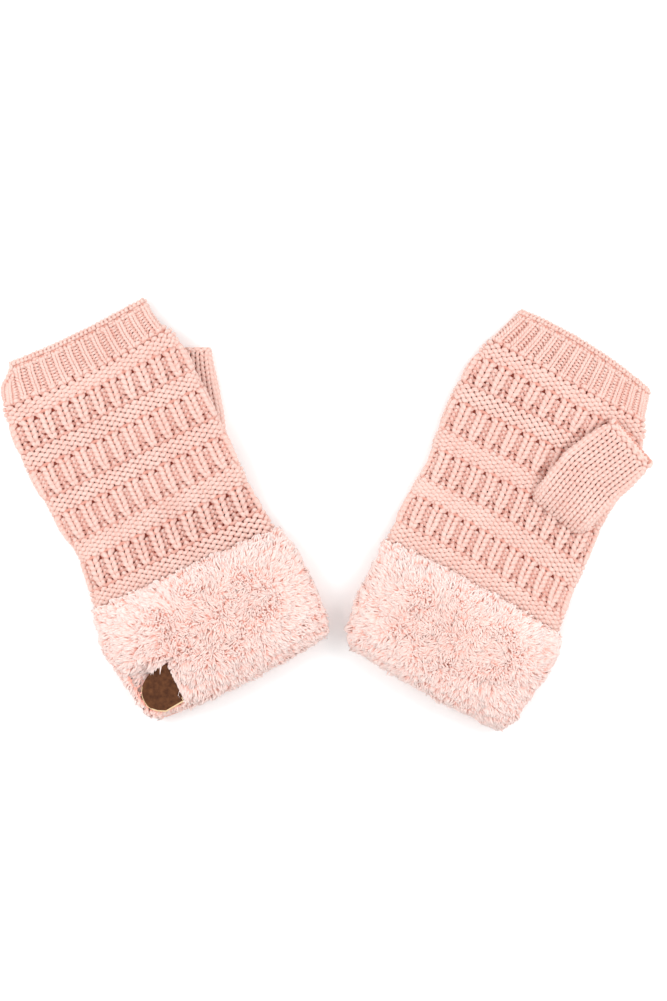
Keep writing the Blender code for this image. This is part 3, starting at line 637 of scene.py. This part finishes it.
def lay_on_thumb(glove, form, reached, along, out, floor=0.0):
    """World points on a thumb, by lengths along and round it, and out from its cloth."""
    middle, across, up = (
        np.stack([np.interp(reached, form.reached, column) for column in values.T], -1)
        for values in (form.middle, form.across, form.up))
    half_wide = norm(across, axis=-1, keepdims=True)
    half_high = norm(up, axis=-1, keepdims=True)
    x, z, out_x, out_z = pressed(2 * half_wide[..., 0], 2 * half_high[..., 0], along)
    foot = (form.middle + form.up)[:2]
    place = (middle + across / half_wide * (x + out_x * out)[..., None]
             + up / half_high * (z + out_z * out)[..., None] - up
             + np.minimum(reached, 0)[..., None] * unit(foot[1] - foot[0]))
    return lay_down(glove, place, floor)


THUMB_STITCHES, THUMB_FAT = 10, 1.12  # on the upper side
THUMB_RIM_STITCHES, THUMB_RIM_FAT = 17, 1.2  # all round, in the rolled edge
THUMB_ROWS, THUMB_ROUND = 25, 40  # points of the ground
MOUTH_OPEN = 4.4  # the right thumb's mouth is drawn back by this on its upper side
RIM_OVER = 0.9  # how far the rolled edge goes past the last station
for glove, stations, palm_side, rest, open_by in (
        (LEFT, LEFT_THUMB, 1, 0.0, 0.0),
        (RIGHT, RIGHT_THUMB, -1, TUBE_THICK + RIB_HEIGHT + 0.3, MOUTH_OPEN)):
    form = thumb_form(stations, palm_side, rest)
    rng = np.random.default_rng(31 if glove is LEFT else 32)
    length = form.reached[-1] + RIM_OVER
    upper_length = length - open_by
    count = int((upper_length - 1.6) / THUMB_COURSE)
    yarns = []
    halves = norm(form.across, axis=1) + (pi / 2 - 1) * norm(form.up, axis=1)
    end_half = halves[-1]
    levels = np.linspace(1.0, upper_length - 0.8, count + 1)
    tall = levels[1] - levels[0]
    for n, reached in enumerate(levels):
        rim = n == count
        stitches, face, fat = THUMB_STITCHES, 1.0, THUMB_FAT
        wide = THUMB_STITCH
        if rim:
            stitches, face, fat = THUMB_RIM_STITCHES, -1.0, THUMB_RIM_FAT
            wide = 4 * end_half / stitches
        edges = (np.arange(stitches + 1) - stitches / 2) * wide
        along, ahead, out, painted_shade, girth = course(edges, face, 0.0, tall, fat, rng)
        place = np.minimum(reached + ahead * (0.5 if rim else 1.0), upper_length)
        place = place + open_by * smooth((np.abs(along) / end_half - 0.84) / 0.24) * rim
        out = out + THUMB_CROWN - LOOP_DEPTH - YARN / 2
        line = lay_on_thumb(glove, form, place, along, out, YARN / 2 * girth)
        yarns.append((line, painted_shade, girth))
    loops = spin(f"{glove.side}_thumb_loops", yarns, THUMB_YARN)
    turn = np.arange(THUMB_ROUND) / THUMB_ROUND * 2 - 1
    halves = np.interp(np.linspace(0, length, THUMB_ROWS), form.reached, halves)
    along = turn[None, :] * 2 * halves[:, None]
    top = 1 - smooth((np.abs(turn) - 0.42) / 0.12)
    reached = np.linspace(0, 1, THUMB_ROWS)[:, None] * (length - open_by * top)[None, :]
    covered = np.broadcast_to(1 - smooth((np.abs(turn) - 0.50) / 0.06), along.shape)
    outer = lay_on_thumb(glove, form, reached, along, -GROUND_DEPTH * covered)
    inner = lay_on_thumb(glove, form, reached, along, -THUMB_WALL)
    pattern = np.stack([along / THUMB_STITCH, reached / THUMB_COURSE], -1)
    ground = knit_ground(f"{glove.side}_thumb", loops, outer, inner, pattern, covered)

# Cuffs: a tube of high-pile plush, turned over the knit's end. The backing is a thin cloth,
# and the pile is cut locks of soft curly fibre, about 4 mm long, which stand up in the
# middle, lean outwards at the edges and over the knit at the mouth.
LEFT_CUFF, RIGHT_CUFF = tables("left_y middle_y right_y left right thick", (
    (-39.6, -40.7, -42.8, -53.0, 55.0, 12.6), (-42.0, -43.2, -45.3, -53.8, 56.0, 17.0),
    (-48.5, -49.5, -51.0, -55.2, 57.6, 21.5), (-57.0, -57.5, -58.5, -57.4, 58.9, 24.0),
    (-67.0, -67.3, -67.8, -57.5, 59.3, 24.6), (-77.0, -77.2, -77.4, -55.8, 59.2, 24.2),
    (-81.4, -81.6, -81.7, -54.8, 59.0, 23.8), (-85.5, -85.8, -85.8, -53.9, 58.7, 23.2),
    (-94.0, -95.0, -94.0, -53.4, 58.2, 21.6), (-101.0, -102.6, -101.0, -52.0, 57.0, 18.6),
    (-105.8, -107.8, -105.2, -49.4, 54.8, 14.2), (-108.2, -110.2, -107.0, -46.4, 52.0, 9.6),
), (
    (-41.2, -42.3, -48.2, -52.4, 55.4, 12.6), (-43.6, -44.8, -50.5, -52.8, 56.4, 17.0),
    (-50.0, -51.2, -55.2, -51.6, 57.6, 21.5), (-58.0, -59.0, -61.0, -51.8, 58.6, 24.0),
    (-67.0, -67.6, -68.5, -52.0, 57.4, 24.6), (-76.0, -76.6, -77.4, -52.0, 56.2, 24.2),
    (-84.0, -85.6, -86.4, -51.6, 54.8, 23.2), (-91.0, -94.2, -95.2, -49.8, 53.4, 21.6),
    (-97.0, -101.0, -102.2, -47.6, 51.2, 18.6), (-100.6, -105.0, -106.4, -45.0, 48.6, 14.2),
    (-102.0, -106.8, -108.2, -42.0, 45.4, 9.6),
))
CUFF_THICK = 24.6
CUFF_MID = 0.42  # the level at which it is widest, of its thickness
SIDE_BOW, SIDE_BOW_SQUARE, SIDE_BOW_LOW = 0.62, 0.34, 0.5  # how its section bows to the sides
TOP_BOW, TOP_BOW_SQUARE = 0.72, 0.45  # and to the top, where it is round and where square
PILE = 1.7  # how far the backing lies under the tips; the locks lean, so are twice as long
LEFT_TROUGHS, RIGHT_TROUGHS = tables("x y half_long half_wide depth turn", (
    (-27.0, -74.0, 12.0, 5.0, 1.6, 35.0), (20.0, -78.0, 26.0, 6.0, 1.2, -12.0),
), (
    (3.0, -74.0, 5.0, 30.0, 1.8, 8.0), (-28.0, -82.0, 22.0, 5.0, 1.2, -20.0),
    (32.0, -88.0, 20.0, 5.0, 1.1, 14.0),
))
Cuff = namedtuple("Cuff", "glove rows troughs")
LABEL_LEFT, LABEL_RIGHT = -49.4, -29.6
LABEL_TOP, LABEL_BOTTOM = -82.4, -106.0
LABEL_ROUND = 9.5  # its left side bows by this at its ends


def label_seat(x, y):
    """How high the plush under the label is."""
    return 14.0 + 0.16 * (x + 39.5) + 0.10 * (y + 94.0)


def cuff_face(cuff, at, turn):
    """Points of the plush's face: at is a place in the rows, turn is 0 at the right fold."""
    glove, rows, troughs = cuff
    left_y, middle_y, right_y, left, right, thick = (
        np.interp(at, range(len(rows)), column) for column in zip(*rows))
    square = np.interp(at, (0, 1, 2), (1.0, 0.5, 0.0))
    c = np.sign(np.cos(turn)) * np.abs(np.cos(turn)) ** 1.6
    s = np.sign(np.sin(turn)) * np.sqrt(1 - c ** 2)
    widest = thick * CUFF_MID
    above = s >= 0
    side_bow = SIDE_BOW + (SIDE_BOW_SQUARE - SIDE_BOW) * square
    x = np.sign(c) * np.abs(c) ** np.where(above, side_bow, SIDE_BOW_LOW)
    top_bow = TOP_BOW + (TOP_BOW_SQUARE - TOP_BOW) * square
    z = np.where(above, widest + (thick - widest) * np.abs(s) ** top_bow,
                 np.maximum(widest - widest * 1.12 * np.abs(s) ** 0.6, 0))
    y = bowed(x / 2 + 0.5, left_y, middle_y, right_y)
    x = (left + right) / 2 + x * (right - left) / 2
    dent = np.zeros_like(x)
    for trough in troughs:
        lean = radians(trough.turn)
        dx, dy = x - trough.x, y - trough.y
        along = (dx * cos(lean) + dy * sin(lean)) / trough.half_long
        beside = (dy * cos(lean) - dx * sin(lean)) / trough.half_wide
        dent = np.maximum(dent, trough.depth * smooth(1.25 - np.hypot(along, beside)))
    z = z - dent * np.clip(3 * s, 0, 1)
    if glove is LEFT:
        outside = np.hypot(np.maximum(np.maximum(LABEL_LEFT - x, x - LABEL_RIGHT), 0),
                           np.maximum(np.maximum(LABEL_BOTTOM - y, y - LABEL_TOP), 0))
        z = np.where(above, np.minimum(z, label_seat(x, y) + 0.9 * outside), z)
    z = z + (CUFF_THICK - thick) / CUFF_THICK * KNIT_RISE * 0.9
    return np.stack([x, y, z], -1)


def cuff_frame(cuff, at, turn):
    """Points of the outer face and the ways out of it."""
    h, last = 0.02, len(cuff.rows) - 1
    along = (cuff_face(cuff, np.minimum(at + h, last), turn)
             - cuff_face(cuff, np.maximum(at - h, 0), turn))
    across = cuff_face(cuff, at, turn + h) - cuff_face(cuff, at, turn - h)
    return cuff_face(cuff, at, turn), unit(np.cross(across, along))


LOCK_LEVELS, LOCK_WIDTHS = (0.0, 0.55, 1.0), (0.75, 1.0)  # two rings and a tip
LOCK_OWN, LOCK_UP = 1.2, 0.45  # in its normals: its own ways out, and straight up


def plush_locks(glove, roots, mids, tips, thickness, out, pale, rng):
    """Tapered three-sided locks, bent through their middles, as one mesh.

    A lock is many fine fibres, so it is lit mostly as the whole face of the plush is.
    """
    lines = [(1 - q) ** 2 * roots + 2 * q * (1 - q) * mids + q ** 2 * tips for q in LOCK_LEVELS]
    lean = unit(tips - roots)
    beside = unit(np.cross(lean, rng.normal(size=lean.shape)))
    other = np.cross(lean, beside)
    points = []
    for line, width in zip(lines, LOCK_WIDTHS):
        for corner in range(3):
            turn = 2 * pi * corner / 3
            points.append(line + (beside * cos(turn) + other * sin(turn))
                          * (thickness * width / 2)[:, None])
    points.append(lines[2])
    count = len(roots)
    place = np.stack(points, 1)
    own = unit(place - np.repeat(np.stack(lines, 1), (3, 3, 1), axis=1), 1e-6)
    up = LOCK_UP * np.maximum(out[:, 2:], 0) * np.array([0, 0, 1.0])
    normals = (LOCK_OWN * own + (out + up)[:, None]).reshape(-1, 3)
    normals = unit(on_table(glove, *normals.T) - on_table(glove, 0.0, 0.0, 0.0))
    place = lay_down(glove, place.reshape(-1, 3), 0.05)
    pattern = [(0, 2, 1)]
    for a, b in ((0, 1), (1, 2), (2, 0)):
        pattern += [(a, b, b + 3), (a, b + 3, a + 3), (a + 3, b + 3, 6)]
    faces = (np.array(pattern)[None] + 7 * np.arange(count)[:, None, None]).reshape(-1, 3)
    name = f"{glove.side}_cuff_pile"
    data = bpy.data.meshes.new(name)
    data.vertices.add(len(place))
    data.vertices.foreach_set("co", place.ravel())
    data.loops.add(faces.size)
    data.loops.foreach_set("vertex_index", faces.ravel())
    data.polygons.add(len(faces))
    data.polygons.foreach_set("loop_start", np.arange(0, faces.size, 3))
    data.update(calc_edges=True)
    # along is 0 at a lock's root, which the material paints as shade, and 1 at its tip
    give_values(data, "along", np.tile(np.repeat((0.0, 0.8, 1.0), (3, 3, 1)), count))
    give_values(data, "pale", np.repeat(pale, 7))
    piece = link_piece(name, data)
    bpy.ops.object.shade_smooth()
    data.normals_split_custom_set_from_vertices(normals)
    return piece


# Plush of fine polyester fibre: the roots, where the locks part, are painted a deeper, warmer
# pink as the shade between them, as light that goes through the fibre tints it; the tips are
# paler, most of all at the mouth and the edges.
plush_material, tree, shader = start_material(
    "blush polyester plush", 0.9, Specular_IOR_Level=0.1, Sheen_Weight=0.25,
    Sheen_Roughness=0.5, Sheen_Tint=linear("#fff0ea"))
tips = add_ramp(tree, add_attribute(tree, "pale"), "#f5dcd4", "#f7e8e3")
# painted shade: deeper pink at the roots, where along is 0, and pale at the tips
tint = add_node(tree, "ShaderNodeMix", {"data_type": "RGBA"}, Factor=add_attribute(tree, "along"),
                i6=linear("#ffb2a0"), i7=tips)
tree.links.new(tint.outputs[2], shader.inputs["Base Color"])

# The cloth between the locks: dull and pink, with its small loops seen as a bump.
backing_material, tree, shader = start_material("blush plush backing", 0.95)
place = add_node(tree, "ShaderNodeTexCoord").outputs["Object"]
knots = add_node(tree, "ShaderNodeTexVoronoi", Vector=place, Scale=900.0).outputs["Distance"]
give_shader(tree, shader, add_ramp(tree, knots, "#fbd0c4", "#f5bdae"),
            add_bump(tree, knots, 0.9, 0.0008))

LOCKS = 18600  # on one cuff
CAP_LOCKS = 1500  # of them, on the wrist's end
FACE_LOCKS = LOCKS - CAP_LOCKS
UNDER_SHARE = 0.15  # how sparse they are on the side that lies on the table
COMB_CENTRE, COMB_REACH = np.array([2.0, -72.0]), np.array([56.0, 32.0])
TUFT = 3.0  # locks lean together in tufts about this far apart
TUFT_PULL, TUFT_STRAY = 0.38, 0.55  # of its tips to its heart, and of the heart itself
TUFT_KINDS = 61  # after so many, the ways that tufts stray come again
LABEL_OVER = 2.8  # the locks bent over the label clear its seat by this
for cuff in (Cuff(LEFT, LEFT_CUFF, LEFT_TROUGHS), Cuff(RIGHT, RIGHT_CUFF, RIGHT_TROUGHS)):
    glove, rows, _ = cuff
    rng = np.random.default_rng(41 if glove is LEFT else 42)
    last = len(rows) - 1
    # Backing: the outer face sunk by the pile, but not where it is pressed by the table.
    at, turn = np.meshgrid(np.linspace(0, last, 27), np.arange(72) / 72 * 2 * pi,
                           indexing="ij")
    here, out = cuff_frame(cuff, at, turn)
    room = np.interp(at, (0, 1, 2, last - 1, last), (0.8, 1.4, PILE, PILE, 2.0))
    room = room * (1 - 0.95 * smooth((-out[..., 2] - 0.72) / 0.25))
    thin = np.interp(at, (0, 1, 2), (0.6, 0.8, 1.2))
    outer = here - out * room[..., None]
    inner = here - out * (room + thin)[..., None]
    backing = tube_wall(f"{glove.side}_cuff_backing", lay_down(glove, outer),
                        lay_down(glove, inner), np.stack([at, turn], -1))
    backing.data.materials.append(backing_material)
    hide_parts(f"{glove.side}_cuff")

    # Places of the locks, even over the face but sparse below, and over the wrist's end.
    grid_at, grid_turn = np.meshgrid(np.linspace(0, last, 121),
                                     np.linspace(-0.45, 1.45, 241) * pi, indexing="ij")
    grid, grid_out = cuff_frame(cuff, grid_at, grid_turn)
    a, b = np.diff(grid, axis=0)[:, :-1], np.diff(grid, axis=1)[:-1]
    area = norm(np.cross(a, b), axis=-1)
    area = (area * np.where(grid_out[:-1, :-1, 2] < -0.8, UNDER_SHARE, 1.0)).ravel()
    total = np.cumsum(area) / area.sum()
    even = (np.arange(FACE_LOCKS) + rng.uniform(size=FACE_LOCKS)) / FACE_LOCKS
    pick = np.searchsorted(total, even)
    at = grid_at[:-1, :-1].ravel()[pick] + rng.uniform(0, last / 120, FACE_LOCKS)
    turn = grid_turn[:-1, :-1].ravel()[pick] + rng.uniform(0, 1.9 * pi / 240, FACE_LOCKS)
    at = np.append(at, np.full(CAP_LOCKS, last))
    turn = np.append(turn, rng.uniform(-0.5 * pi, 1.5 * pi, CAP_LOCKS))
    here, out = cuff_frame(cuff, at, turn)
    inward = rng.uniform(0, 0.85, LOCKS) * (np.arange(LOCKS) >= FACE_LOCKS)
    here[:, 2] = here[:, 2] * (1 - inward) + (KNIT_RISE + 3.7) * inward
    out = out * (1 - inward[:, None]) + np.array([0, -1.0, 0]) * inward[:, None]

    # Comb: outwards at the edges, ahead over the knit at the mouth, in swirls in the middle.
    away = (here[:, :2] - COMB_CENTRE) / COMB_REACH
    far = norm(away, axis=1)
    strength = smooth((far - 0.35) / 0.6)
    x, y = here[:, 0], here[:, 1]
    swirl = np.stack([np.sin(x / 6.0 + 2.2 * np.sin(y / 9.0)) + 0.5 * np.sin(y / 3.1),
                      np.sin(y / 5.0 + 2.2 * np.cos(x / 8.0)) + 0.5 * np.sin(x / 2.7)], -1)
    swirl = unit(swirl, 0.3)
    comb = np.zeros_like(here)
    comb[:, :2] = (away / np.maximum(far, 0.05)[:, None] * (0.25 + strength)[:, None]
                   + swirl * (0.85 - 0.65 * strength)[:, None]
                   + rng.normal(0, 0.3, (LOCKS, 2)))
    comb[:, 2] = rng.normal(0, 0.15, LOCKS)
    comb -= out * np.sum(comb * out, axis=1, keepdims=True)
    length = np.interp(at, (0, 1, 3), (2.6, 3.0, 3.6)) * rng.uniform(0.75, 1.25, LOCKS)
    low = smooth(-out[:, 2:] / 0.6)  # those that turn down to the table stay short
    tips = (here + comb * length[:, None] * (0.35 - 0.45 * low)
            + out * (rng.normal(-0.2, 0.35, (LOCKS, 1)) - 0.8 * low))
    room = np.interp(at, (0, 1, 2, last - 1, last), (1.0, 1.6, PILE, PILE, 2.4))
    roots = here - comb * length[:, None] * 0.65 - out * room[:, None]
    # Locks of one tuft lean together, each tuft a little its own way.
    tuft = tips[:, :2] / TUFT + 0.35 * swirl
    kind = tuple(np.floor(tuft).astype(int).T % TUFT_KINDS)
    tips[:, :2] -= TUFT_PULL * (tuft % 1 - 0.5) * TUFT
    tips += rng.normal(0, TUFT_STRAY, (TUFT_KINDS, TUFT_KINDS, 3))[kind]
    mids = roots * 0.42 + tips * 0.58 + out * 0.8 + rng.normal(0, 0.4, roots.shape)
    if glove is LEFT:
        # Short under the label, and combed over its top and its right side.
        over = label_seat(x, y) + LABEL_OVER
        beyond_top, beyond_right = y - LABEL_TOP - 0.3, x - LABEL_RIGHT - 0.2
        down = np.clip((LABEL_TOP - y) / (LABEL_TOP - LABEL_BOTTOM), 0, 1)
        side = LABEL_LEFT + LABEL_ROUND * np.abs(2 * down - 1.05) ** 2.6
        near = (x > side - 0.2) & (y > LABEL_BOTTOM + 0.3) & (out[:, 2] > 0.1)
        off = np.maximum(side - x, LABEL_BOTTOM - y)
        within = (beyond_top < 0) & (beyond_right < 0)
        fringe = within & (off > -0.4) & (off < 3.5)
        tips[fringe] -= 1.3 * out[fringe]
        mids[fringe] -= 0.8 * out[fringe]
        under = near & within
        tips[under] = here[under] - out[under] * 1.4
        mids[under] = (roots[under] + tips[under]) / 2
        above = near & (beyond_top >= 0) & (beyond_top < 5) & (beyond_right < 3)
        tips[above] += np.array([-0.2, -2.2, 0.0])
        mids[above, 1] = LABEL_TOP + 1.5
        beside = near & (beyond_right >= 0) & (beyond_right < 3) & (beyond_top < 0)
        tips[beside] += np.array([-0.9, 0.3, 0.0])
        mids[beside, 0] = LABEL_RIGHT + 1.0
        bent = above | beside
        # Round the label the pile stands on a slope, but its long tips catch the light.
        out[(x < LABEL_RIGHT + 8) & (y < LABEL_TOP + 12) & (out[:, 2] > 0.3)] += [0, 0, 1.5]
        tips[bent, 2] = np.maximum(tips[bent, 2], over[bent])
        mids[bent, 2] = np.maximum(mids[bent, 2], over[bent] + 1.3)
    thickness = rng.uniform(0.9, 1.45, LOCKS) * (0.9 + 0.1 * strength)
    pale = np.clip(0.5 * strength + np.interp(at, (0, 1.5, 3), (0.5, 0.4, 0))
                   + rng.normal(0.1, 0.15, LOCKS), 0, 1)
    pile = plush_locks(glove, roots, mids, tips, thickness, out, pale, rng)
    pile.data.materials.append(plush_material)
    for piece in (backing, pile):
        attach(piece, "root")
    around = norm(outer - np.roll(outer, 1, axis=1), axis=2).sum(axis=1).mean()
    long = norm(np.diff(outer, axis=0), axis=2).sum(axis=0).mean()

# Label: a tab of dark brown leather with a burnished face and a cut edge of pale raw hide.
# Its top and right side lie under the plush; there the cut edge is painted the dark leather
# colour, as painted shade from the pile over it. Its face is left bare.
BEVEL = 0.75
solid = bpy.data.objects["left_label"]
label = solid.copy()
label.data = solid.data.copy()
label.name = "left_label_leather"
label.data.materials.clear()
bpy.context.scene.collection.objects.link(label)
form = bmesh.new()
form.from_mesh(label.data)
bmesh.ops.remove_doubles(form, verts=form.verts, dist=1e-6)
bmesh.ops.dissolve_limit(form, angle_limit=radians(4), verts=form.verts, edges=form.edges)
face_way = np.array(max(form.faces, key=lambda face: face.calc_area()).normal)
rim = [edge for edge in form.edges if edge.calc_face_angle(0) > radians(50)]
bmesh.ops.bevel(form, geom=rim, offset=BEVEL * MM, segments=3, profile=0.5, affect="EDGES")
form.normal_update()
shaded_edge_turn = radians(LEFT.turn + 45)  # between its top and its right side
shaded_edge_way = np.array([cos(shaded_edge_turn), sin(shaded_edge_turn), 0])
middle = np.mean([vertex.co for vertex in form.verts], axis=0)
for face in form.faces:
    face.smooth = True
    level = np.dot(face.normal, face_way)
    tilt = np.array(face.normal) - level * face_way
    offset = np.array(face.calc_center_median()) - middle
    outward = np.dot(tilt, offset) > 0.4 * norm(tilt) * norm(offset)
    # painted shade: a cut edge that faces the top or the right side, in the pile's shadow, takes the
    # dark leather colour; the others are pale
    free = outward and np.dot(tilt, shaded_edge_way) < 0
    face.material_index = 1 if abs(level) < 0.97 and free else 0
bmesh.ops.triangulate(form, faces=[face for face in form.faces if len(face.verts) > 4])
form.to_mesh(label.data)
form.free()
# The face is dull, with fine pores and a cloudy stain; the raw edge is pale and plain.
leather, tree, shader = start_material("dark brown leather", 0.7, Specular_IOR_Level=0.2)
place = add_node(tree, "ShaderNodeTexCoord").outputs["Object"]
grain = add_node(tree, "ShaderNodeTexVoronoi", Vector=place, Scale=1500.0).outputs["Distance"]
cloud = add_node(tree, "ShaderNodeTexNoise", Vector=place, Scale=420.0, Detail=4.0).outputs["Fac"]
give_shader(tree, shader, add_ramp(tree, cloud, "#462411", "#6a4024", places=(0.3, 0.75)),
            add_bump(tree, grain, 0.5, 0.00025))
edge, _, _ = start_material("raw hide edge", 0.8, Base_Color=linear("#eecda0"))
label.data.materials.append(leather)
label.data.materials.append(edge)
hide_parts("left_label")
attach(label, "root")

# White table, with plain soft light from above and a lamp on each side, as in the photo:
# each glove is shaded where it turns to the other one.
bpy.ops.mesh.primitive_plane_add(size=4.0, location=(0, 0, -0.0002))
table = bpy.context.object
table.name = "table"
table_material, _, _ = start_material("white paper", 0.9, Base_Color=linear("#ffffff"))
table.data.materials.append(table_material)
world = bpy.data.worlds.new("studio")
bpy.context.scene.world = world
world.use_nodes = True
sky = world.node_tree.nodes["Background"]
sky.inputs["Color"].default_value = linear("#ffffff")
sky.inputs["Strength"].default_value = 0.94
LIGHT_AHEAD, LIGHT_UP = 0.15, 0.55
for name, x in (("left light", -0.55), ("right light", 0.55)):
    bpy.ops.object.light_add(type="AREA", location=(x, LIGHT_AHEAD, LIGHT_UP))
    light = bpy.context.object
    light.name = name
    light.data.size = 0.35
    light.data.energy = 2.1
    light.rotation_euler = (-atan2(LIGHT_AHEAD, LIGHT_UP), atan2(x, LIGHT_UP), 0)
    bpy.ops.object.select_all(action="DESELECT")
bpy.context.scene.view_settings.view_transform = "Standard"

# The camera looks straight down. One pixel of the photo is 0.535 mm on the gloves, so its
# long side of 1001 pixels is 0.5355 m there.
LENS, SENSOR = 100.0, 36.0
FRAME_LONG_SIDE, GLOVE_LEVEL = 0.5355, 0.006
FRAME_CENTRE_X, FRAME_CENTRE_Y = 2.7, 6.4  # in mm, before the pair's shift
camera_data = bpy.data.cameras.new("camera")
camera_data.lens = LENS
camera_data.sensor_width = SENSOR
camera = bpy.data.objects.new("camera", camera_data)
camera.location = ((FRAME_CENTRE_X + PAIR_SHIFT_X) * MM, (FRAME_CENTRE_Y + PAIR_SHIFT_Y) * MM,
                   GLOVE_LEVEL + FRAME_LONG_SIDE * LENS / SENSOR)
bpy.context.scene.collection.objects.link(camera)
bpy.context.scene.camera = camera
